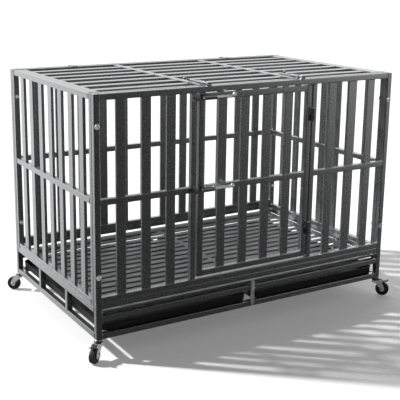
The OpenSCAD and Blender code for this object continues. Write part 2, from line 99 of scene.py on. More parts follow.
class Mat:
    """A small helper around one node-based material."""

    def __init__(self, name):
        self.m = bpy.data.materials.new(name)
        self.m.use_nodes = True
        self.t = self.m.node_tree
        self.p = self.t.nodes["Principled BSDF"]
        self.co = self.add("ShaderNodeTexCoord").outputs["Object"]

    def add(self, kind, **props):
        n = self.t.nodes.new(kind)
        for k, v in props.items():
            setattr(n, k, v)
        return n

    def link(self, a, b):
        self.t.links.new(a, b)

    def noise(self, scale, detail=3.0, rough=0.55, stretch=None):
        n = self.add("ShaderNodeTexNoise")
        n.inputs["Scale"].default_value = scale
        n.inputs["Detail"].default_value = detail
        n.inputs["Roughness"].default_value = rough
        src = self.co
        if stretch:
            mp = self.add("ShaderNodeMapping")
            mp.inputs["Scale"].default_value = stretch
            self.link(self.co, mp.inputs["Vector"])
            src = mp.outputs["Vector"]
        self.link(src, n.inputs["Vector"])
        return n.outputs["Fac"]

    def voronoi(self, scale, feature="SMOOTH_F1", out="Distance", smooth=0.7):
        n = self.add("ShaderNodeTexVoronoi", feature=feature)
        n.inputs["Scale"].default_value = scale
        if "Smoothness" in n.inputs and feature == "SMOOTH_F1":
            n.inputs["Smoothness"].default_value = smooth
        self.link(self.co, n.inputs["Vector"])
        return n.outputs[out]

    def ramp(self, fac, stops, interp="LINEAR"):
        r = self.add("ShaderNodeValToRGB")
        r.color_ramp.interpolation = interp
        els = r.color_ramp.elements
        while len(els) < len(stops):
            els.new(0.5)
        for e, (pos, col) in zip(els, stops):
            e.position = pos
            e.color = (col, col, col, 1) if isinstance(col, (int, float)) else (*col, 1)
        self.link(fac, r.inputs["Fac"])
        return r.outputs["Color"]

    def mapr(self, v, a, b, lo, hi):
        n = self.add("ShaderNodeMapRange")
        n.inputs["From Min"].default_value = a
        n.inputs["From Max"].default_value = b
        n.inputs["To Min"].default_value = lo
        n.inputs["To Max"].default_value = hi
        self.link(v, n.inputs["Value"])
        return n.outputs["Result"]

    def math(self, op, a, b):
        n = self.add("ShaderNodeMath", operation=op)
        for i, v in enumerate((a, b)):
            if isinstance(v, (int, float)):
                n.inputs[i].default_value = v
            else:
                self.link(v, n.inputs[i])
        return n.outputs["Value"]

    def mix(self, fac, a, b, mode="MIX"):
        n = self.add("ShaderNodeMix", data_type="RGBA", blend_type=mode)
        for key, v in (("Factor", fac), ("A", a), ("B", b)):
            sock = [s for s in n.inputs if s.name == key and (s.type == ("VALUE" if key == "Factor" else "RGBA"))][0]
            if isinstance(v, (int, float)):
                sock.default_value = v
            elif isinstance(v, tuple):
                sock.default_value = (*v, 1)
            else:
                self.link(v, sock)
        return [s for s in n.outputs if s.type == "RGBA"][0]

    def bump(self, height, strength, dist, chain=None):
        n = self.add("ShaderNodeBump")
        n.inputs["Strength"].default_value = strength
        n.inputs["Distance"].default_value = dist
        self.link(height, n.inputs["Height"])
        if chain is not None:
            self.link(chain, n.inputs["Normal"])
        return n.outputs["Normal"]

    def edge(self, lo=0.50, hi=0.58):
        """1 along convex edges, 0 elsewhere."""
        g = self.add("ShaderNodeNewGeometry")
        return self.mapr(g.outputs["Pointiness"], lo, hi, 0.0, 1.0)

    def set(self, **kw):
        for k, v in kw.items():
            s = self.p.inputs[k.replace("_", " ")]
            if isinstance(v, tuple) and len(v) == 3:
                s.default_value = (*v, 1)
            elif isinstance(v, (int, float)):
                s.default_value = v
            else:
                self.link(v, s)
        return self


def coat_material():
    """Dark silver hammertone coat: dimpled cells, fine sparkle, and a painted highlight that lightens the convex edges.
    """
    k = Mat("coat")
    cells = k.voronoi(420.0)
    grain = k.noise(1500.0, 2.0)
    cloud = k.noise(9.0, 4.0)
    tone = k.ramp(cells, [(0.05, (0.28, 0.284, 0.29)), (0.5, (0.34, 0.344, 0.35)), (0.95, (0.40, 0.404, 0.41))])
    tone = k.mix(k.mapr(grain, 0.55, 0.75, 0.0, 0.5), tone, (0.50, 0.505, 0.51))
    tone = k.mix(k.mapr(cloud, 0.3, 0.75, 0.0, 0.22), tone, (0.24, 0.243, 0.248))
    # painted highlight: the coat's colour is lightened towards 0.62 along convex tube edges
    tone = k.mix(k.math("MULTIPLY", k.edge(0.53, 0.62), 0.3), tone, (0.62, 0.625, 0.63))
    n = k.bump(cells, 0.06, 0.0004)
    n = k.bump(grain, 0.02, 0.0002, n)
    k.set(Base_Color=tone, Roughness=k.mapr(cells, 0.0, 0.8, 0.22, 0.31), Normal=n)
    k.set(Metallic=0.97)
    return k.m


def sheet_material():
    """Grey coat on the floor sheet, scuffed by use."""
    k = Mat("floor_sheet")
    cells = k.voronoi(520.0)
    cloud = k.noise(6.0, 5.0)
    scuff = k.noise(30.0, 6.0, 0.7, (0.25, 4.0, 1.0))
    tone = k.ramp(cloud, [(0.3, (0.14, 0.143, 0.147)), (0.7, (0.185, 0.188, 0.192))])
    tone = k.mix(k.mapr(scuff, 0.55, 0.8, 0.0, 0.3), tone, (0.26, 0.263, 0.267))
    n = k.bump(cells, 0.25, 0.0005)
    k.set(Base_Color=tone, Roughness=k.mapr(scuff, 0.3, 0.8, 0.36, 0.52), Normal=n)
    k.set(Metallic=0.75)
    return k.m


def zinc_material():
    """Bright zinc plate with faint turning marks."""
    k = Mat("zinc")
    fine = k.noise(900.0, 3.0)
    cloud = k.noise(60.0, 3.0)
    tone = k.ramp(cloud, [(0.3, (0.72, 0.73, 0.74)), (0.7, (0.82, 0.825, 0.83))])
    n = k.bump(fine, 0.12, 0.0002)
    k.set(Base_Color=tone, Roughness=k.mapr(cloud, 0.3, 0.7, 0.2, 0.34), Normal=n)
    k.set(Metallic=0.45)
    return k.m


def black_material():
    """Black coat on hinges and bolt housings, rubbed to metal at the edges."""
    k = Mat("black_iron")
    cells = k.voronoi(700.0)
    cloud = k.noise(80.0, 4.0)
    tone = k.ramp(cloud, [(0.3, (0.030, 0.030, 0.032)), (0.7, (0.055, 0.055, 0.058))])
    tone = k.mix(k.math("MULTIPLY", k.edge(0.53, 0.62), 0.5), tone, (0.24, 0.24, 0.245))
    n = k.bump(cells, 0.25, 0.0004)
    k.set(Base_Color=tone, Roughness=k.mapr(cloud, 0.3, 0.7, 0.36, 0.5), Normal=n)
    k.set(Metallic=0.3)
    return k.m


def bar_material():
    """Light grey coat of the turn bar."""
    k = Mat("lock_bar")
    cells = k.voronoi(600.0)
    cloud = k.noise(40.0, 3.0)
    tone = k.ramp(cloud, [(0.3, (0.46, 0.465, 0.47)), (0.7, (0.56, 0.565, 0.57))])
    tone = k.mix(k.math("MULTIPLY", k.edge(0.53, 0.62), 0.5), tone, (0.7, 0.7, 0.7))
    n = k.bump(cells, 0.25, 0.0004)
    k.set(Base_Color=tone, Roughness=k.mapr(cloud, 0.3, 0.7, 0.3, 0.42), Normal=n)
    k.set(Metallic=0.6)
    return k.m


def plastic_material(name, lo, hi, scale, rough):
    """Fine-grained moulded plastic."""
    k = Mat(name)
    grain = k.noise(scale, 4.0, 0.6)
    cloud = k.noise(7.0, 3.0)
    tone = k.ramp(cloud, [(0.3, (lo, lo, lo * 1.05)), (0.7, (hi, hi, hi * 1.05))])
    n = k.bump(grain, 0.22, 0.0004)
    k.set(Base_Color=tone, Roughness=k.mapr(grain, 0.3, 0.7, rough - 0.07, rough + 0.07), Normal=n)
    return k.m


def chrome_material():
    """Bright plated pressed steel."""
    k = Mat("fork_chrome")
    cloud = k.noise(70.0, 3.0)
    fine = k.noise(500.0, 2.0)
    tone = k.ramp(cloud, [(0.3, (0.84, 0.845, 0.85)), (0.7, (0.90, 0.905, 0.91))])
    n = k.bump(fine, 0.05, 0.0002)
    k.set(Base_Color=tone, Roughness=k.mapr(cloud, 0.3, 0.7, 0.12, 0.24), Normal=n)
    k.set(Metallic=0.4)
    return k.m


def rubber_material():
    """Black rubber, dusty on the tread."""
    k = Mat("tyre_rubber")
    grain = k.noise(600.0, 4.0)
    dust = k.noise(90.0, 5.0)
    tone = k.ramp(dust, [(0.35, (0.018, 0.018, 0.018)), (0.75, (0.045, 0.044, 0.043))])
    n = k.bump(grain, 0.3, 0.0004)
    k.set(Base_Color=tone, Roughness=k.mapr(dust, 0.3, 0.7, 0.55, 0.75), Normal=n)
    return k.m


MATS = {
    "coat": coat_material(),
    "floor_sheet": sheet_material(),
    "zinc": zinc_material(),
    "black_iron": black_material(),
    "lock_bar": bar_material(),
    "tray_plastic": plastic_material("tray_plastic", 0.009, 0.015, 700.0, 0.45),
    "nylon": plastic_material("nylon", 0.022, 0.036, 900.0, 0.42),
    "fork_chrome": chrome_material(),
    "tyre_rubber": rubber_material(),
}
MATS["tray_plastic"].node_tree.nodes["Principled BSDF"].inputs["Specular IOR Level"].default_value = 0.2
SLOT_OF = {s["node"]: s["material_slot"] for s in frame["record"]["subparts"]}

# ------------------------------------------------------------------ mesh tools


def new_piece(name, bm, node, smooth=35.0, weighted=True):
    """Turns a bmesh (millimetres) into a piece that stands for a CAD node."""
    bmesh.ops.scale(bm, vec=(MM, MM, MM), verts=bm.verts)
    bmesh.ops.recalc_face_normals(bm, faces=bm.faces)
    me = bpy.data.meshes.new(name)
    bm.to_mesh(me)
    bm.free()
    me.shade_smooth()
    me.set_sharp_from_angle(angle=math.radians(smooth))
    ob = bpy.data.objects.new(name, me)
    bpy.context.scene.collection.objects.link(ob)
    me.materials.append(MATS[SLOT_OF[node]])
    if weighted:
        w = ob.modifiers.new("normals", "WEIGHTED_NORMAL")
        w.keep_sharp = True
    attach(ob, BODY_OF[node])
    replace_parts(ob, node)
    return ob


def solids(node):
    """Lowest and highest corners, in millimetres, of each separate solid in a CAD node."""
    me = NODES[node].data
    n = len(me.vertices)
    co = np.zeros(n * 3, np.float32)
    me.vertices.foreach_get("co", co)
    co = co.reshape(-1, 3).astype(float) * 1000.0
    key = {}
    ids = np.zeros(n, int)
    for i, c in enumerate(np.round(co, 3)):
        ids[i] = key.setdefault(tuple(c), len(key))
    # faces belong together where exactly two of them share an edge; solids that only touch stay apart
    polys = [[int(ids[i]) for i in p.vertices] for p in me.polygons]
    by_edge = {}
    for f, v in enumerate(polys):
        for i, j in zip(v, v[1:] + v[:1]):
            by_edge.setdefault((min(i, j), max(i, j)), []).append(f)
    parent = list(range(len(polys)))

    def find(a):
        while parent[a] != a:
            parent[a] = parent[parent[a]]
            a = parent[a]
        return a

    for fs in by_edge.values():
        if len(fs) == 2:
            parent[find(fs[0])] = find(fs[1])
    groups = {}
    for f, p in enumerate(me.polygons):
        groups.setdefault(find(f), []).extend(p.vertices)
    boxes = [(co[g].min(0), co[g].max(0)) for g in groups.values()]
    # a closed tube's inner skin lies inside its outer one
    inside = lambda a, b: a is not b and (a[0] >= b[0] - 0.01).all() and (a[1] <= b[1] + 0.01).all()
    boxes = [a for a in boxes if not any(inside(a, b) for b in boxes)]
    return sorted(boxes, key=lambda b: tuple(np.round(b[0], 2)) + tuple(np.round(b[1], 2)))


def rounded(w, h, r, seg):
    """Outline of a rounded rectangle about the origin, anticlockwise."""
    r = min(r, w / 2 - 0.01, h / 2 - 0.01)
    pts = []
    for cx, cy, a0 in ((w / 2 - r, h / 2 - r, 0), (-w / 2 + r, h / 2 - r, 90), (-w / 2 + r, -h / 2 + r, 180), (w / 2 - r, -h / 2 + r, 270)):
        for i in range(seg + 1):
            a = math.radians(a0 + 90.0 * i / seg)
            pts.append((cx + r * math.cos(a), cy + r * math.sin(a)))
    return pts


AX = {0: ((0, 1, 0), (0, 0, 1), (1, 0, 0)), 1: ((0, 0, 1), (1, 0, 0), (0, 1, 0)), 2: ((1, 0, 0), (0, 1, 0), (0, 0, 1))}


def loft(bm, rings, close_start=True, close_end=True, loop=False):
    """Skins a list of rings of equal length."""
    vs = [[bm.verts.new(p) for p in ring] for ring in rings]
    n = len(vs[0])
    pairs = list(zip(vs, vs[1:]))
    if loop:
        pairs.append((vs[-1], vs[0]))
    for a, b in pairs:
        for i in range(n):
            bm.faces.new((a[i], a[(i + 1) % n], b[(i + 1) % n], b[i]))
    if close_start and not loop:
        bm.faces.new(list(reversed(vs[0])))
    if close_end and not loop:
        bm.faces.new(vs[-1])
    return vs


def add_tube(bm, lo, hi, r=2.2, seg=4, end=0.0, axis=None):
    """A rounded tube that fills a box along its long axis, its ends softened by end."""
    lo, hi = np.array(lo, float), np.array(hi, float)
    size = hi - lo
    a = int(np.argmax(size)) if axis is None else axis
    u, v, w = [np.array(x, float) for x in AX[a]]
    mid = (lo + hi) / 2
    du, dv, dw = abs(size @ u), abs(size @ v), abs(size @ w)
    if end > 0:
        first = [(-dw / 2 + end * (1 - math.cos(math.radians(30 * k))), end * (1 - math.sin(math.radians(30 * k)))) for k in range(4)]
    else:
        first = [(-dw / 2, 0.0)]
    last = [(-s, i) for s, i in reversed(first)]
    rings = []
    for s, inset in first + last:
        prof = rounded(du - 2 * inset, dv - 2 * inset, max(r - inset, 0.4), seg)
        rings.append([tuple(mid + u * x + v * y + w * s) for x, y in prof])
    loft(bm, rings)


def bead(bm, centre, axis, w, h, r=2.2, size=1.5, step=2.4):
    """A rippled weld bead around a tube end of w by h, on the plane across axis."""
    u, v, n = [np.array(x, float) for x in AX[axis]]
    base = rounded(w, h, r, 4)
    # resample the outline evenly
    pts = np.array(base + [base[0]])
    seglen = np.hypot(*(pts[1:] - pts[:-1]).T)
    total = seglen.sum()
    count = max(24, int(total / step))
    cum = np.concatenate([[0], np.cumsum(seglen)])
    rings = []
    phase = rng.random() * 6.28
    for i in range(count):
        d = total * i / count
        k = min(np.searchsorted(cum, d, side="right") - 1, len(seglen) - 1)
        t = (d - cum[k]) / max(seglen[k], 1e-9)
        x, y = pts[k] * (1 - t) + pts[k + 1] * t
        tx, ty = (pts[k + 1] - pts[k]) / max(seglen[k], 1e-9)
        nx, ny = ty, -tx
        s = size * (0.86 + 0.14 * math.sin(phase + i * 2.2) + 0.10 * (rng.random() - 0.5))
        ring = []
        for j in range(6):
            a = 2 * math.pi * j / 6
            ox, on = math.cos(a) * s, math.sin(a) * s
            ring.append(tuple(np.array(centre) + u * (x + nx * ox) + v * (y + ny * ox) + n * on))
        rings.append(ring)
    loft(bm, rings, loop=True)


def lathe(bm, prof, origin, axis=(0, 0, 1), seg=32, closed=False):
    """Turns a profile of (radius, height) about an axis. A closed profile makes a ring."""
    z = Vector(axis).normalized()
    x = z.orthogonal().normalized()
    y = z.cross(x)
    o = Vector(origin)
    cols = []
    poles = {}
    for i in range(seg):
        a = 2 * math.pi * i / seg
        d = x * math.cos(a) + y * math.sin(a)
        col = []
        for k, (r, h) in enumerate(prof):
            if r < 1e-6:
                if k not in poles:
                    poles[k] = bm.verts.new(o + z * h)
                col.append(poles[k])
            else:
                col.append(bm.verts.new(o + d * r + z * h))
        cols.append(col)
    m = len(prof)
    for i in range(seg):
        a, b = cols[i], cols[(i + 1) % seg]
        for k in range(m if closed else m - 1):
            q = [a[k], b[k], b[(k + 1) % m], a[(k + 1) % m]]
            u = []
            for v in q:
                if v not in u:
                    u.append(v)
            if len(u) >= 3:
                bm.faces.new(u)
    if not closed:
        for k, rev in ((0, True), (m - 1, False)):
            if prof[k][0] > 1e-6:
                loop = [c[k] for c in cols]
                bm.faces.new(list(reversed(loop)) if rev else loop)


def add_box(bm, lo, hi, r=0.8, seg=3, matrix=None):
    """A box with every edge rounded."""
    lo, hi = Vector(lo), Vector(hi)
    res = bmesh.ops.create_cube(bm, size=1.0)
    vs = res["verts"]
    c, s = (lo + hi) / 2, hi - lo
    for v in vs:
        v.co = Vector((v.co.x * s.x, v.co.y * s.y, v.co.z * s.z)) + c
    edges = {e for v in vs for e in v.link_edges}
    out = bmesh.ops.bevel(bm, geom=list(edges), offset=r, segments=seg, affect="EDGES", profile=0.5)
    if matrix is not None:
        verts = {v for f in out["faces"] for v in f.verts}
        verts |= {v for v in vs if v.is_valid}
        bmesh.ops.transform(bm, matrix=matrix, verts=list(verts))


def add_plate(bm, outline, t0, t1, u, v, n, origin, r=0.5):
    """A flat plate of any outline between t0 and t1 along n, with softened edges."""
    u, v, n, o = Vector(u), Vector(v), Vector(n), Vector(origin)
    pts = [Vector((x, y)) for x, y in outline]
    area = sum(a.x * b.y - b.x * a.y for a, b in zip(pts, pts[1:] + pts[:1]))
    if area < 0:
        pts.reverse()

    def inset(d):
        out = []
        m = len(pts)
        for i in range(m):
            a, b, c = pts[i - 1], pts[i], pts[(i + 1) % m]
            e0, e1 = (b - a).normalized(), (c - b).normalized()
            n0, n1 = Vector((-e0.y, e0.x)), Vector((-e1.y, e1.x))
            bis = (n0 + n1)
            den = 1.0 + n0.dot(n1)
            out.append(b + bis * (d / max(den, 0.3)))
        return out

    rings = []
    for t, d in ((t0, r), (t0 + 0.3 * r, 0.3 * r), (t0 + r, 0), (t1 - r, 0), (t1 - 0.3 * r, 0.3 * r), (t1, r)):
        rings.append([tuple(o + u * p.x + v * p.y + n * t) for p in inset(d)])
    loft(bm, rings)


def weld_line(bm, p0, p1, size=1.6, step=1.1):
    """A rippled weld along a straight line, tapered at its ends."""
    p0, p1 = Vector(p0), Vector(p1)
    d = (p1 - p0).normalized()
    u = d.orthogonal().normalized()
    v = d.cross(u)
    count = max(8, int((p1 - p0).length / step))
    rings = []
    for i in range(count + 1):
        t = i / count
        s = size * (0.88 + 0.12 * math.sin(i * 1.9) + 0.06 * (rng.random() - 0.5))
        s *= min(1.0, 0.35 + 1.3 * min(i, count - i) / 3.0)
        c = p0.lerp(p1, t)
        rings.append([tuple(c + u * s * math.cos(2 * math.pi * j / 8) + v * s * math.sin(2 * math.pi * j / 8)) for j in range(8)])
    loft(bm, rings)


def arc(cx, cy, r, a0, a1, n):
    return [(cx + r * math.cos(math.radians(a0 + (a1 - a0) * i / n)), cy + r * math.sin(math.radians(a0 + (a1 - a0) * i / n))) for i in range(n + 1)]


# ------------------------------------------------------------------ tubes, slats and welds

TUBE_R, SLAT_R = 2.3, 1.3


def tube_piece(node, r, end_if=None, weld=None, bead_size=1.5):
    """Rounded tubes for every solid of a node; weld(lo, hi, axis) says which ends get a bead."""
    bm = bmesh.new()
    for lo, hi in solids(node):
        a = int(np.argmax(hi - lo))
        add_tube(bm, lo, hi, r=r, end=0.9 if end_if and end_if(lo, hi, a) else 0.0)
        for e in (weld(lo, hi, a) if weld else ()):
            c = (lo + hi) / 2
            c[a] = lo[a] if e == 0 else hi[a]
            u, v, _ = [np.abs(np.array(x, float)) for x in AX[a]]
            bead(bm, c, a, (hi - lo) @ u, (hi - lo) @ v, r=r, size=bead_size)
    return new_piece(node + "_tubes", bm, node)


both = lambda lo, hi, a: (0, 1)
for n in ("base_posts",):
    tube_piece(n, TUBE_R, end_if=lambda lo, hi, a: True)
for n in ("base_bottom_rails", "base_mid_rails", "base_top_rails", "base_side_posts"):
    tube_piece(n, TUBE_R, weld=both, bead_size=1.3)
for n in ("front_frame", "rear_frame", "left_frame", "right_frame"):
    tall = lambda lo, hi, a: a == 2 and hi[2] - lo[2] > 670
    tube_piece(n, TUBE_R, end_if=tall, weld=lambda lo, hi, a: () if tall(lo, hi, a) else (0, 1), bead_size=1.3)
tube_piece("door_frame", TUBE_R, end_if=lambda lo, hi, a: a == 2, weld=lambda lo, hi, a: () if a == 2 else (0, 1), bead_size=1.3)
tube_piece("lid_frame", TUBE_R, end_if=lambda lo, hi, a: a == 0, weld=lambda lo, hi, a: () if a == 0 else (0, 1), bead_size=1.3)
for n in ("front_slats", "rear_slats", "left_slats", "right_slats", "door_slats", "lid_slats"):
    tube_piece(n, SLAT_R, weld=both, bead_size=1.5)

# ------------------------------------------------------------------ small parts


def merged(bm, build, matrix):
    """Builds into a fresh mesh, places it, and adds it to bm."""
    part = bmesh.new()
    build(part)
    bmesh.ops.recalc_face_normals(part, faces=part.faces)
    part.transform(matrix)
    tmp = bpy.data.meshes.new("tmp")
    part.to_mesh(tmp)
    part.free()
    bm.from_mesh(tmp)
    bpy.data.meshes.remove(tmp)


def axes_matrix(origin, x, y, z):
    m = Matrix((Vector(x), Vector(y), Vector(z))).transposed().to_4x4()
    m.translation = Vector(origin)
    return m


def hex_nut(bm, r=7.5, h=6.5, bore=4.02):
    """Chamfered nut about local Z, from 0 to h."""
    lathe(bm, [(bore, 0), (r * 0.88, 0), (r, 0.7), (r, h - 0.7), (r * 0.88, h), (bore + 0.5, h), (bore, h - 0.5)], (0, 0, 0), seg=6, closed=True)


def button_head(bm, r, h, socket):
    """Domed head about local Z, from 0 to h, with a round socket."""
    prof = [(0, 0), (r - 0.3, 0), (r, 0.5)]
    for i in range(1, 7):
        a = math.radians(90 * i / 6)
        prof.append((socket + 0.4 + (r - socket - 0.4) * math.cos(a), 0.6 + (h - 0.6) * math.sin(a)))
    prof += [(socket, h - 0.3), (socket * 0.96, h * 0.45), (0, h * 0.35)]
    lathe(bm, prof, (0, 0, 0), seg=28)


bm = bmesh.new()
for lo, hi in solids("corner_bolts"):
    s = -1 if lo[1] < 0 else 1
    face = s * 370.0
    m = axes_matrix(((lo[0] + hi[0]) / 2, face, (lo[2] + hi[2]) / 2), (1, 0, 0), (0, 0, -s), (0, s, 0))

    def corner_bolt(b):
        lathe(b, [(4.1, 0), (9.1, 0), (9.5, 0.35), (9.5, 1.05), (9.1, 1.4), (4.1, 1.4)], (0, 0, 0), seg=28, closed=True)
        head = bmesh.new()
        button_head(head, 7.6, 5.0, 2.6)
        bmesh.ops.translate(head, vec=(0, 0, 1.4), verts=head.verts)
        t = bpy.data.meshes.new("t")
        head.to_mesh(t)
        head.free()
        b.from_mesh(t)
        bpy.data.meshes.remove(t)
        lathe(b, [(0, -50), (3.3, -50), (4.0, -49.2), (4.0, 0.6), (0, 0.6)], (0, 0, 0), seg=20)

    merged(bm, corner_bolt, m)
new_piece("corner_bolt_set", bm, "corner_bolts", smooth=40)

bm = bmesh.new()
for lo, hi in solids("corner_nuts"):
    s = -1 if lo[1] < 0 else 1
    m = axes_matrix(((lo[0] + hi[0]) / 2, s * 330.0, (lo[2] + hi[2]) / 2), (1, 0, 0), (0, 0, s), (0, -s, 0))
    merged(bm, hex_nut, m)
new_piece("corner_nut_set", bm, "corner_nuts", smooth=30)


# ---- hinges
LEAF = 12.0


def knuckle(bm, a, b, bore):
    c = 0.8
    lathe(bm, [(bore, a), (6.5 - c, a), (6.5 - 0.25 * c, a + 0.3 * c), (6.5, a + c), (6.5, b - c), (6.5 - 0.25 * c, b - 0.3 * c), (6.5 - c, b), (bore, b)], (0, 0, 0), seg=32, closed=True)


def hinge_barrel(bm, a, b, side, bore):
    """Half a hinge about local Z with a flat leaf, welded along the leaf's outer edge."""
    knuckle(bm, a, b, bore)
    x0, x1 = (4.4, LEAF) if side > 0 else (-LEAF, -4.4)
    add_box(bm, (x0, 4.98, a + 0.3), (x1, 6.98, b - 0.3), r=0.6, seg=3)
    weld_line(bm, (side * (LEAF - 0.1), 6.3, a + 1.2), (side * (LEAF - 0.1), 6.3, b - 1.2), 1.3)


def hinge_strap(bm, a, b, bore):
    """Moving half of a lid hinge: a strap folded off the knuckle, over the rear rail and on to the lid."""
    knuckle(bm, a, b, bore)
    add_box(bm, (-9.0, -2.8, a + 0.3), (-4.6, 2.8, b - 0.3), r=0.6, seg=3)
    add_box(bm, (-9.28, -2.9, a + 0.1), (-7.32, 46.9, b - 0.1), r=0.6, seg=3)
    add_box(bm, (-7.7, 31.1, a + 0.2), (-7.02, 46.8, b - 0.2), r=0.2, seg=2)
    weld_line(bm, (-7.9, 46.7, a + 1.5), (-7.9, 46.7, b - 1.5), 1.3)
    for z in (a + 0.3, b - 0.3):
        weld_line(bm, (-7.9, 33.0, z), (-7.9, 45.5, z), 1.1)


def hinge_pin(bm):
    lathe(bm, [(0, -23.2), (3.2, -23.2), (4.0, -22.6), (4.0, 23.4), (5.2, 23.4), (5.6, 23.8), (5.6, 24.8), (5.0, 25.3), (0, 25.4)], (0, 0, 0), seg=28)


hinge_at = {}
for node in ("door_hinge_fixed", "lid_hinge_fixed"):
    hinge_at[node] = solids(node)
jd = {j["name"]: j for j in frame["joints"]}
door_axis = Vector(jd["door_swing"]["pos_m"]) * 1000
lid_axis = Vector(jd["lid_swing"]["pos_m"]) * 1000


def hinge_matrices(kind):
    """Local Z along the hinge axis, local +Y towards the face it is welded to."""
    out = []
    for lo, hi in hinge_at[kind + "_hinge_fixed"]:
        if kind == "door":
            out.append(axes_matrix((door_axis.x, door_axis.y, hi[2] + 0.3), (1, 0, 0), (0, 1, 0), (0, 0, 1)))
        else:
            out.append(axes_matrix((lo[0] - 0.3, lid_axis.y, lid_axis.z), (0, 0, -1), (0, -1, 0), (-1, 0, 0)))
    return out


for kind in ("door", "lid"):
    for node, build in (
        (kind + "_hinge_fixed", lambda b: hinge_barrel(b, -23, -0.3, 1, 4.02)),
        (kind + "_hinge_leaves", (lambda b: hinge_barrel(b, 0.3, 23, -1, 4.08)) if kind == "door" else (lambda b: hinge_strap(b, 0.3, 23, 4.08))),
        (kind + "_hinge_pins", hinge_pin),
    ):
        bm = bmesh.new()
        for m in hinge_matrices(kind):
            merged(bm, build, m)
        new_piece(node + "_set", bm, node, smooth=40)


# ---- slide bolts
# rod radius, rod height over the face, barrel radius, way through the keeper, keeper width
BIG = (5.0, 9.8, 9.6, 11.6, 20.0)
LOW = (4.0, 5.5, 7.0, 9.0, 17.0)


def housing(k):
    """Barrel welded to the rail along both sides of its foot."""
    rod, rz, rr = k[0], k[1], k[2]

    def build(bm):
        a, b, c, r, bore = -45.0, 0.0, 0.9, rr - 0.02, rod + 0.1
        prof = [(bore, a + 0.5), (bore + 0.4, a), (r - c, a), (r - 0.3 * c, a + 0.3 * c), (r, a + c), (r, b - c), (r - 0.3 * c, b - 0.3 * c), (r - c, b), (bore + 0.4, b), (bore, b - 0.5)]
        lathe(bm, prof, (0, 0, rz), (1, 0, 0), seg=40, closed=True)
        # the barrel's foot is sunk to the face where it is set low
        for v in bm.verts:
            v.co.z = max(v.co.z, 0.02)
        y = 0.6 * rr
        for s in (-1, 1):
            weld_line(bm, (a + 1.0, s * y, 1.0), (b - 1.0, s * y, 1.0), 1.7)
    return build


def outline(w, h, top, foot, seg):
    """Rectangle from height 0 to h with its own radius at the top and at the foot."""
    pts = []
    for cx, cy, r, a0 in ((w / 2 - top, h - top, top, 0), (-w / 2 + top, h - top, top, 90), (-w / 2 + foot, foot, foot, 180), (w / 2 - foot, foot, foot, 270)):
        for i in range(seg + 1):
            t = math.radians(a0 + 90.0 * i / seg)
            pts.append((cx + r * math.cos(t), cy + r * math.sin(t)))
    return pts


def keeper_at(k, a):
    """Strap folded round a square way, welded down along both feet."""
    def build(bm):
        rz, way, w = k[1], k[3], k[4]
        h = rz + way / 2 + 0.3 * k[0] + 1.0
        rings = []
        for x, grow, inner in (
            (a + 0.7, 0, True), (a + 0.2, 0.2, True), (a, 0.7, True), (a, 0.7, False), (a + 0.2, 0.2, False), (a + 0.7, 0, False),
            (a + 17.3, 0, False), (a + 17.8, 0.2, False), (a + 18, 0.7, False), (a + 18, 0.7, True), (a + 17.8, 0.2, True), (a + 17.3, 0, True),
        ):
            if inner:
                o = [(y, z + rz - way / 2 - grow) for y, z in outline(way + 2 * grow, way + 2 * grow, 1.4, 1.4, 5)]
            else:
                o = [(y, z + grow + 0.02) for y, z in outline(w - 2 * grow, h - 2 * grow, 0.24 * w, 0.6, 5)]
            rings.append([(x, y, max(z, 0.02)) for y, z in o])
        loft(bm, rings, loop=True)
        for s in (-1, 1):
            weld_line(bm, (a + 1.4, s * (w / 2 - 0.1), 0.9), (a + 16.6, s * (w / 2 - 0.1), 0.9), 1.4)
    return build


def rod_to(k, tip, lean):
    """Round rod with a turned tip, and a handle with a ball that leans over."""
    def build(bm):
        r, rz = k[0] - 0.02, k[1]
        lathe(bm, [(0, -110), (r - 1.2, -110), (r - 0.35, -109.6), (r, -108.8), (r, tip - 2.4), (r - 0.5, tip - 1.2), (r - 1.6, tip), (0, tip)], (0, 0, rz), (1, 0, 0), seg=32)
        d = Vector((0, -math.sin(math.radians(lean)), math.cos(math.radians(lean))))
        n, ball, far = k[0] - 1.0, 1.3 * k[0], 4.4 * k[0]
        prof = [(0, 2.0), (n + 0.5, 2.0), (n + 0.5, k[0]), (n, k[0] + 1.2), (n, far - math.sqrt(ball * ball - n * n))]
        for t in range(-48, 91, 14):
            if ball * math.cos(math.radians(t)) > n or t > 0:
                prof.append((max(ball * math.cos(math.radians(t)), 0), far + ball * math.sin(math.radians(t))))
        prof[-1] = (0, far + ball)
        lathe(bm, prof, (-105, 0, rz), d, seg=28)
    return build


def door_m(z):
    return axes_matrix((-220.0, -370.0, z), (-1, 0, 0), (0, 0, -1), (0, -1, 0))


def lid_m(x):
    return axes_matrix((x, -344.0, 876.0), (0, -1, 0), (1, 0, 0), (0, 0, 1))


hz = sorted((lo[2] + hi[2]) / 2 for lo, hi in solids("door_bolt_housings"))
lxs = sorted((lo[0] + hi[0]) / 2 for lo, hi in solids("lid_bolt_housings"))
for node, build, mats in (
    ("door_bolt_housings", housing(BIG), [door_m(z) for z in hz]),
    ("door_keepers", keeper_at(BIG, 20.0), [door_m(z) for z in hz]),
    ("door_bolt_top", rod_to(BIG, 3.0, 20), [door_m(hz[1])]),
    ("door_bolt_mid", rod_to(BIG, 3.0, 20), [door_m(hz[0])]),
    ("lid_bolt_housings", housing(LOW), [lid_m(x) for x in lxs]),
    ("lid_keepers", keeper_at(LOW, 7.0), [lid_m(x) for x in lxs]),
    ("lid_bolt_left", rod_to(LOW, 3.0, 70), [lid_m(lxs[0])]),
    ("lid_bolt_right", rod_to(LOW, 3.0, -70), [lid_m(lxs[1])]),
):
    bm = bmesh.new()
    for m in mats:
        merged(bm, build, m)
    new_piece(node + "_set", bm, node, smooth=40)

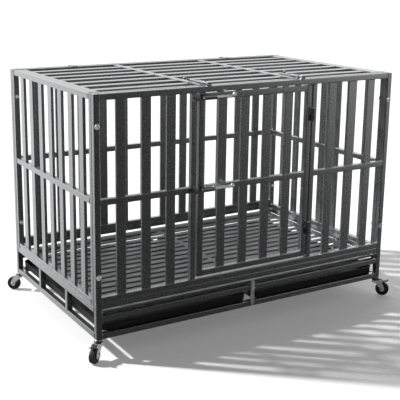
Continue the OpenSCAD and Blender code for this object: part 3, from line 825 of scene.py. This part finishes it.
# ---- turn bar
lock = Vector(jd["tray_lock_turn"]["pos_m"]) * 1000
bm = bmesh.new()
blo, bhi = [Vector(v) * 1000 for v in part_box("tray_lock_bar")]
half = (bhi.x - blo.x) / 2 - 0.03
out = arc(0, blo.z + 7.8, half, 180, 360, 16) + arc(0, bhi.z - 7.8, half, 0, 180, 16)
add_plate(bm, out, blo.y + 0.02, bhi.y - 0.02, (1, 0, 0), (0, 0, 1), (0, 1, 0), (0, 0, 0), r=0.9)
new_piece("turn_bar", bm, "tray_lock_bar", smooth=40)

bm = bmesh.new()


def lock_bolt(b):
    button_head(b, 7.0, 4.5, 2.4)
    lathe(b, [(0, -33), (3.4, -33), (4.0, -32.3), (4.0, 0.4), (0, 0.4)], (0, 0, 0), seg=20)
    lathe(b, [(4.1, -5.3), (6.8, -5.3), (7.0, -5.1), (7.0, -4.7), (6.8, -4.5), (4.1, -4.5)], (0, 0, 0), seg=28, closed=True)


merged(bm, lock_bolt, axes_matrix((lock.x, -375.3, lock.z), (1, 0, 0), (0, 0, 1), (0, -1, 0)))
merged(bm, hex_nut, axes_matrix((lock.x, -350.0, lock.z), (1, 0, 0), (0, 0, -1), (0, 1, 0)))
new_piece("turn_bar_bolt", bm, "tray_lock_bolt", smooth=40)

# ------------------------------------------------------------------ floor sheet with pressed slots

flo, fhi = [Vector(v) * 1000 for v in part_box("floor_panel")]


def floor_sheet():
    bm = bmesh.new()
    z = fhi.z
    X, Y = fhi.x - 2.2, fhi.y - 2.2
    pitch, w, rows = 43.5, 14.0, 15
    s0, s1 = 7.5 + w / 2, fhi.x - 37.0 - w / 2
    ys = [(i - (rows - 1) / 2) * pitch for i in range(rows)]
    seg = 8
    step = 1.4          # width over which the side walls step up to the shorter front and rear lips

    def layer(zz, X, Y, hw):
        """Flat layer with stadium holes of half width hw; returns its boundary loop and its holes' loops."""
        memo = {}

        def V(x, y):
            k = (round(x, 3), round(y, 3))
            if k not in memo:
                memo[k] = bm.verts.new((x, y, zz))
            return memo[k]

        xs = [-X, -X + step, -s1, -s0, s0, s1, X - step, X]
        cuts = [-Y] + [v for y in ys for v in (y - hw, y + hw)] + [Y]
        holes = []
        for k in range(0, len(cuts), 2):
            for a, b in zip(xs, xs[1:]):
                bm.faces.new((V(a, cuts[k]), V(b, cuts[k]), V(b, cuts[k + 1]), V(a, cuts[k + 1])))
        for y in ys:
            cap = lambda cx, a0, a1: [V(cx + hw * math.cos(math.radians(a0 + (a1 - a0) * i / seg)), y + hw * math.sin(math.radians(a0 + (a1 - a0) * i / seg))) for i in range(seg + 1)]
            left_out = cap(-s1, 90, 270)     # far end of the left slot
            left_in = cap(-s0, -90, 90)
            right_in = cap(s0, 90, 270)
            right_out = cap(s1, -90, 90)
            holes.append(left_out + left_in)
            holes.append(right_in + right_out)
            bm.faces.new([V(-X + step, y + hw), V(-X, y + hw), V(-X, y - hw), V(-X + step, y - hw)] + list(reversed(left_out)))
            bm.faces.new(list(left_in) + list(right_in))
            bm.faces.new([V(X - step, y - hw), V(X, y - hw), V(X, y + hw), V(X - step, y + hw)] + list(reversed(right_out)))
        loop = [V(x, -Y) for x in xs] + [V(X, c) for c in cuts[1:-1]] + [V(x, Y) for x in reversed(xs)] + [V(-X, c) for c in reversed(cuts[1:-1])]
        return loop, holes

    top, top_holes = layer(z, X, Y, w / 2 + 1.1)
    low, low_holes = layer(z - 1.2, X + 0.9, Y + 0.9, w / 2 + 1.3)

    def ring(loop, dx, zz):
        """The loop again, pushed out by dx and set at height zz."""
        res = []
        for v in loop:
            x = v.co.x + (dx if v.co.x > 0 and abs(abs(v.co.x) - X) < 1e-3 else -dx if abs(abs(v.co.x) - X) < 1e-3 else 0)
            y = v.co.y + (dx if v.co.y > 0 and abs(abs(v.co.y) - Y) < 1e-3 else -dx if abs(abs(v.co.y) - Y) < 1e-3 else 0)
            side = abs(abs(v.co.x) - X) < 1e-3
            res.append(bm.verts.new((x, y, zz if side else max(zz, z - 6.0 + zz - flo.z if zz < z - 6.0 else zz))))
        return res

    def skin(a, b):
        n = len(a)
        for i in range(n):
            bm.faces.new((a[i], a[(i + 1) % n], b[(i + 1) % n], b[i]))

    prev = top
    for t in (30, 60, 90):
        nxt = ring(top, 2.2 * math.sin(math.radians(t)), z - 2.2 * (1 - math.cos(math.radians(t))))
        skin(prev, nxt)
        prev = nxt
    for dx, zz in ((2.2, flo.z + 0.4), (1.9, flo.z), (1.3, flo.z), (1.0, flo.z + 0.4), (1.0, z - 2.4)):
        nxt = ring(top, dx, zz)
        skin(prev, nxt)
        prev = nxt
    skin(prev, low)
    for a, b in zip(top_holes, low_holes):
        cy = sum(v.co.y for v in a) / len(a)

        def lip(hw, zz):
            """The slot's outline at half width hw."""
            res = []
            for v in a:
                ex = s1 if abs(v.co.x) > (s0 + s1) / 2 else s0
                px = math.copysign(ex, v.co.x) if abs(v.co.x) > 1e-6 else ex
                d = Vector((v.co.x - px, v.co.y - cy))
                if d.length > 1e-9:
                    d = d.normalized() * hw
                res.append(bm.verts.new((px + d.x, cy + d.y, zz)))
            return res

        prev = a
        for hw, zz in ((w / 2 + 0.45, z - 0.25), (w / 2 + 0.1, z - 0.8), (w / 2, z - 1.4), (w / 2 + 0.4, z - 1.7), (w / 2 + 1.0, z - 1.5)):
            nxt = lip(hw, zz)
            skin(prev, nxt)
            prev = nxt
        skin(prev, b)
    return bm


new_piece("slotted_floor", floor_sheet(), "floor_panel", smooth=40)

# ------------------------------------------------------------------ trays


def tray_mesh(lo, hi):
    """Pan with upright walls, a rounded foot and a rolled rim."""
    bm = bmesh.new()
    h = hi.z - lo.z
    prof = [
        (7.0, 0.0, 23.0), (5.0, 0.5, 24.3), (3.5, 1.9, 25.6), (2.6, 4.2, 26.6), (2.25, 7.0, 27.0), (1.75, h - 5.4, 27.2), (1.7, h - 4.3, 27.3),
        (0.9, h - 3.95, 27.5), (0.25, h - 3.4, 27.8), (0.02, h - 2.4, 28.0), (0.2, h - 1.2, 27.8), (0.9, h - 0.3, 27.1), (2.2, h, 25.8), (3.4, h - 0.3, 24.6),
        (4.0, h - 1.1, 24.0), (4.4, h - 3.0, 23.8), (8.3, 7.0, 22.4), (9.0, 4.6, 22.0), (10.4, 3.2, 20.6), (12.6, 2.75, 18.4), (18.0, 2.7, 13.0),
    ]

    def ring(inset, z, r):
        w, d = hi.x - lo.x - 2 * inset, hi.y - lo.y - 2 * inset
        c = ((lo.x + hi.x) / 2, (lo.y + hi.y) / 2)
        return [(c[0] + x, c[1] + y, lo.z + z) for x, y in rounded(w, d, r, 8)]

    loft(bm, [ring(*q) for q in prof])
    return bm


for n in ("tray_left", "tray_right"):
    tlo, thi = [Vector(v) * 1000 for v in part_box(n)]
    new_piece(n + "_pan", tray_mesh(tlo, thi), n, smooth=40)

# ------------------------------------------------------------------ casters

bm = bmesh.new()
for lo, hi in solids("caster_stems"):
    x, y = (lo[0] + hi[0]) / 2, (lo[1] + hi[1]) / 2
    prof = [(0, 53), (4.4, 53), (6.2, 53.5), (7, 54.4), (7, 55.7), (6.6, 56), (4, 56), (4, 62), (5.95, 62), (5.95, 70.2), (12.6, 70.2), (13, 70.6), (13, 71.6), (12.6, 71.98), (4.98, 71.98)]
    z = 73.0
    while z < 89.0:
        prof += [(4.98, z), (4.4, z + 0.55)]
        z += 1.25
    prof += [(4.6, 89.4), (3.8, 90), (0, 90)]
    lathe(bm, prof, (x, y, 0), seg=28)
new_piece("caster_stem_set", bm, "caster_stems", smooth=35)

bm = bmesh.new()
for lo, hi in solids("caster_caps"):
    x, y = (lo[0] + hi[0]) / 2, (lo[1] + hi[1]) / 2
    lathe(bm, [(6.02, 62.02), (13.6, 62.02), (14.3, 62.3), (14.5, 62.9), (14.5, 64.6), (14.1, 65.0), (14.1, 65.4), (14.4, 65.8), (13.9, 66.9), (12.9, 68.2), (11.4, 69.4), (9.8, 70.18), (6.02, 70.18)], (x, y, 0), seg=40, closed=True)
new_piece("caster_cap_set", bm, "caster_caps", smooth=35)

TRAIL, WR = 28.0, 26.0


def fork_mesh(pedal):
    def build(bm):
        # side plates: broad at the crown, drawn in to a rounded eye at the axle
        out = [(-12.2, 61.0), (24.2, 61.0), (25.0, 60.2), (26.2, 54.0), (28.5, 49.0), (34.0, 38.5)]
        out += arc(TRAIL, WR, 9.3, 25, -205, 20)
        out += [(9.5, 40.0), (2.5, 48.6), (-2.0, 51.2), (-12.0, 54.6), (-13.0, 55.8), (-13.0, 60.2)]
        for y0, y1 in ((11.32, 13.48), (-13.48, -11.32)):
            add_plate(bm, out, y0, y1, (1, 0, 0), (0, 0, 1), (0, 1, 0), (0, 0, 0), r=0.55)
        # crown plate and its raised ball race
        add_plate(bm, rounded(26.0, 26.6, 3.0, 5), 57.55, 60.95, (1, 0, 0), (0, 1, 0), (0, 0, 1), (1.0, 0, 0), r=0.8)
        lathe(bm, [(4.1, 60.4), (12.2, 60.4), (12.4, 61.0), (11.6, 61.5), (9.0, 61.6), (4.1, 61.6)], (0, 0, 0), seg=36, closed=True)
        # embossed rib down each side plate
        for s in (-1, 1):
            a, b = Vector((8.0, s * 13.45, 55.0)), Vector((TRAIL - 3.0, s * 13.45, WR + 11.0))
            d = (b - a)
            lathe(bm, [(0, -2.0), (1.2, -1.6), (1.9, 0), (1.9, d.length), (1.2, d.length + 1.6), (0, d.length + 2.0)], a - Vector((0, s * 0.9, 0)), d, seg=14)
        if pedal:
            lathe(bm, [(0, -14.4), (2.6, -14.2), (2.9, -13.6), (1.48, -13.4), (1.48, 13.4), (2.9, 13.6), (2.6, 14.2), (0, 14.4)], (20, 0, 57), (0, 1, 0), seg=18)
    return build


def axle_mesh(bm):
    lathe(bm, [(0, -15.6), (4.4, -15.6), (6.0, -15.1), (6.5, -14.4), (6.5, -13.6), (3.98, -13.5), (3.98, 13.5), (6.5, 13.6), (6.5, 14.4), (6.0, 15.1), (4.4, 15.6), (0, 15.6)], (TRAIL, 0, WR), (0, 1, 0), seg=28)


def hub_mesh(bm):
    o, ax = (TRAIL, 0, WR), (0, 1, 0)
    lathe(bm, [(4.08, -11), (6.8, -11), (7.4, -10.5), (7.4, -6.0), (14.2, -5.2), (15.0, -8.6), (15.5, -8.95), (16.95, -8.95), (16.95, 8.95), (15.5, 8.95), (15.0, 8.6), (14.2, 5.2), (7.4, 6.0), (7.4, 10.5), (6.8, 11), (4.08, 11)], o, ax, seg=48, closed=True)
    for k in range(6):
        a = math.radians(60 * k)
        m = Matrix.Translation(Vector(o)) @ Matrix.Rotation(a, 4, "Y")
        for s in (-1, 1):
            y0, y1 = (4.6, 8.2) if s > 0 else (-8.2, -4.6)
            add_box(bm, (6.6, y0, -1.1), (15.2, y1, 1.1), r=0.45, seg=2, matrix=m)


def tyre_mesh(bm):
    prof = [(17.0, -9.3), (18.2, -9.9), (19.4, -9.98), (21.6, -9.98), (22.6, -9.9), (23.6, -9.4), (24.6, -8.5), (25.3, -7.2), (25.7, -5.6), (25.93, -3.6)]
    prof += [(25.97, -2.2), (25.2, -1.9), (25.2, -1.5), (25.98, -1.2), (25.98, 1.2), (25.2, 1.5), (25.2, 1.9), (25.97, 2.2)]
    prof += [(r, -y) for r, y in reversed(prof[:10])]
    lathe(bm, prof, (TRAIL, 0, WR), (0, 1, 0), seg=72, closed=True)


def pedal_mesh(bm):
    lathe(bm, [(1.56, -9), (2.6, -9), (3.0, -8.5), (3.0, 8.5), (2.6, 9), (1.56, 9)], (20, 0, 57), (0, 1, 0), seg=24, closed=True)
    # tread plate with a turned-up toe, one folded strip
    line = [(21.5, 57.0), (30.0, 57.2), (39.5, 57.2), (42.0, 57.6), (46.5, 59.6), (50.6, 61.5)]
    t = 1.15
    upper, lower = [], []
    for i, p in enumerate(line):
        a = Vector(line[max(i - 1, 0)])
        b = Vector(line[min(i + 1, len(line) - 1)])
        d = (b - a).normalized()
        n = Vector((-d.y, d.x))
        upper.append(Vector(p) + n * t)
        lower.append(Vector(p) - n * t)
    prof = upper + list(reversed(lower))
    rings = []
    for y, k in ((-9.0, 0.75), (-8.6, 0.93), (-8.0, 1.0), (8.0, 1.0), (8.6, 0.93), (9.0, 0.75)):
        ring = []
        for q, mid in zip(prof, line + list(reversed(line))):
            m = Vector(mid)
            v = m + (q - m) * k
            ring.append((v.x, y, v.y))
        rings.append(ring)
    loft(bm, rings)
    for x, z in ((44.2, 59.75), (46.6, 60.85), (49.0, 61.95)):
        lathe(bm, [(0, -7.2), (0.6, -7.0), (0.75, -6.4), (0.75, 6.4), (0.6, 7.0), (0, 7.2)], (x, 0, z), (0, 1, 0), seg=10)


for c in ("fl", "fr", "rl", "rr"):
    ps = Vector(jd["swivel_" + c]["pos_m"]) * 1000
    ax = Vector(jd["roll_" + c]["axis"])
    # local X runs from the swivel to the wheel, local Y along the axle
    m = axes_matrix((ps.x, ps.y, 0), (ax.y, -ax.x, 0), (ax.x, ax.y, 0), (0, 0, 1))
    jobs = [("fork_", fork_mesh(c in ("fl", "fr"))), ("axle_", axle_mesh), ("hub_", hub_mesh), ("tyre_", tyre_mesh)]
    if c in ("fl", "fr"):
        jobs.append(("pedal_", pedal_mesh))
    for head, build in jobs:
        bm = bmesh.new()
        merged(bm, build, m)
        new_piece(head + c + "_piece", bm, head + c, smooth=38)

# ------------------------------------------------------------------ the rest keep their CAD shapes

done = {n for o in bpy.data.objects for n in o.get("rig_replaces", [])}
for n, ob in NODES.items():
    if n not in done:
        ob.data.materials.clear()
        ob.data.materials.append(MATS[SLOT_OF[n]])

# ------------------------------------------------------------------ stage, light and camera

me = bpy.data.meshes.new("ground")
S = 60.0
me.from_pydata([(-S, -S, 0), (S, -S, 0), (S, S, 0), (-S, S, 0)], [], [(0, 1, 2, 3)])
ground = bpy.data.objects.new("ground", me)
bpy.context.scene.collection.objects.link(ground)
gm = Mat("ground")
gm.set(Base_Color=(0.86, 0.86, 0.86), Roughness=0.9, Emission_Color=(1.0, 1.0, 1.0), Emission_Strength=0.17)
gm.p.inputs["Specular IOR Level"].default_value = 0.0
me.materials.append(gm.m)
ground.visible_glossy = False
ground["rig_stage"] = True

# a white backdrop, seen by the camera only, so that low views have no dark sky behind the crate
H = 120.0
me = bpy.data.meshes.new("backdrop")
me.from_pydata(
    [(-S, -S, 0), (S, -S, 0), (S, S, 0), (-S, S, 0), (-S, -S, H), (S, -S, H), (S, S, H), (-S, S, H)],
    [],
    [(0, 4, 5, 1), (1, 5, 6, 2), (2, 6, 7, 3), (3, 7, 4, 0)],
)
backdrop = bpy.data.objects.new("backdrop", me)
bpy.context.scene.collection.objects.link(backdrop)
wm = Mat("backdrop")
wm.set(Base_Color=(0.0, 0.0, 0.0), Roughness=1.0, Emission_Color=(1.0, 1.0, 1.0), Emission_Strength=1.0)
wm.p.inputs["Specular IOR Level"].default_value = 0.0
me.materials.append(wm.m)
backdrop.visible_diffuse = False
backdrop.visible_glossy = False
backdrop.visible_transmission = False
backdrop.visible_volume_scatter = False
backdrop.visible_shadow = False
backdrop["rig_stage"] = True

sun_dir = Vector((0.933, -0.776, -1.0)).normalized()
sun = bpy.data.lights.new("key", "SUN")
sun.energy = 4.2
sun.angle = math.radians(3.0)
so = bpy.data.objects.new("key", sun)
so.rotation_euler = sun_dir.to_track_quat("-Z", "Y").to_euler()
bpy.context.scene.collection.objects.link(so)

world = bpy.data.worlds.new("studio")
bpy.context.scene.world = world
world.use_nodes = True
wt = world.node_tree
bg = wt.nodes["Background"]
tc = wt.nodes.new("ShaderNodeTexCoord")
dot = wt.nodes.new("ShaderNodeVectorMath")
dot.operation = "DOT_PRODUCT"
wt.links.new(tc.outputs["Generated"], dot.inputs[0])
dot.inputs[1].default_value = Vector((0.35, 0.93, 0.10)).normalized()
mr = wt.nodes.new("ShaderNodeMapRange")
mr.inputs["From Min"].default_value = -1.0
mr.inputs["From Max"].default_value = 1.0
wt.links.new(dot.outputs["Value"], mr.inputs["Value"])
sky = wt.nodes.new("ShaderNodeValToRGB")
sky.color_ramp.interpolation = "EASE"
SKY = [(0.0, 0.022), (0.20, 0.026), (0.32, 0.03), (0.50, 0.04), (0.70, 0.05), (0.785, 0.12), (0.85, 0.86), (1.0, 0.62)]
while len(sky.color_ramp.elements) < len(SKY):
    sky.color_ramp.elements.new(0.5)
for e, (pos, v) in zip(sky.color_ramp.elements, SKY):
    e.position = pos
    e.color = (v, v, v, 1)
wt.links.new(mr.outputs["Result"], sky.inputs["Fac"])
wt.links.new(sky.outputs["Color"], bg.inputs["Color"])
bg.inputs["Strength"].default_value = 1.75
# a soft panel on the right
side = wt.nodes.new("ShaderNodeVectorMath")
side.operation = "DOT_PRODUCT"
wt.links.new(tc.outputs["Generated"], side.inputs[0])
side.inputs[1].default_value = Vector((0.87, -0.41, 0.21)).normalized()
sm = wt.nodes.new("ShaderNodeMapRange")
sm.interpolation_type = "SMOOTHSTEP"
sm.inputs["From Min"].default_value = 0.82
sm.inputs["From Max"].default_value = 0.90
sm.inputs["To Min"].default_value = 0.0
sm.inputs["To Max"].default_value = 0.7
wt.links.new(side.outputs["Value"], sm.inputs["Value"])
bg2 = wt.nodes.new("ShaderNodeBackground")
bg2.inputs["Color"].default_value = (1, 1, 1, 1)
wt.links.new(sm.outputs["Result"], bg2.inputs["Strength"])
both_bg = wt.nodes.new("ShaderNodeAddShader")
wt.links.new(bg.outputs["Background"], both_bg.inputs[0])
wt.links.new(bg2.outputs["Background"], both_bg.inputs[1])
wt.links.new(both_bg.outputs["Shader"], wt.nodes["World Output"].inputs["Surface"])

cam = bpy.data.cameras.new("camera")
cam.lens = 78.0
cam.sensor_width = 36.0
cam.shift_x = 0.06
cam.shift_y = -0.08
cam.clip_end = 200.0
co = bpy.data.objects.new("camera", cam)
az, el, roll = math.radians(-30.289), math.radians(13.223), math.radians(0.488)
back = Vector((math.sin(az) * math.cos(el), -math.cos(az) * math.cos(el), math.sin(el)))
co.location = (-1.7063, -2.7463, 1.2619)
co.rotation_euler = ((-back).to_track_quat("-Z", "Y").to_matrix() @ Matrix.Rotation(roll, 3, "Z")).to_euler()
bpy.context.scene.collection.objects.link(co)
bpy.context.scene.camera = co
bpy.context.scene.view_settings.view_transform = "Standard"

lo, hi = [Vector(v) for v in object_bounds()]
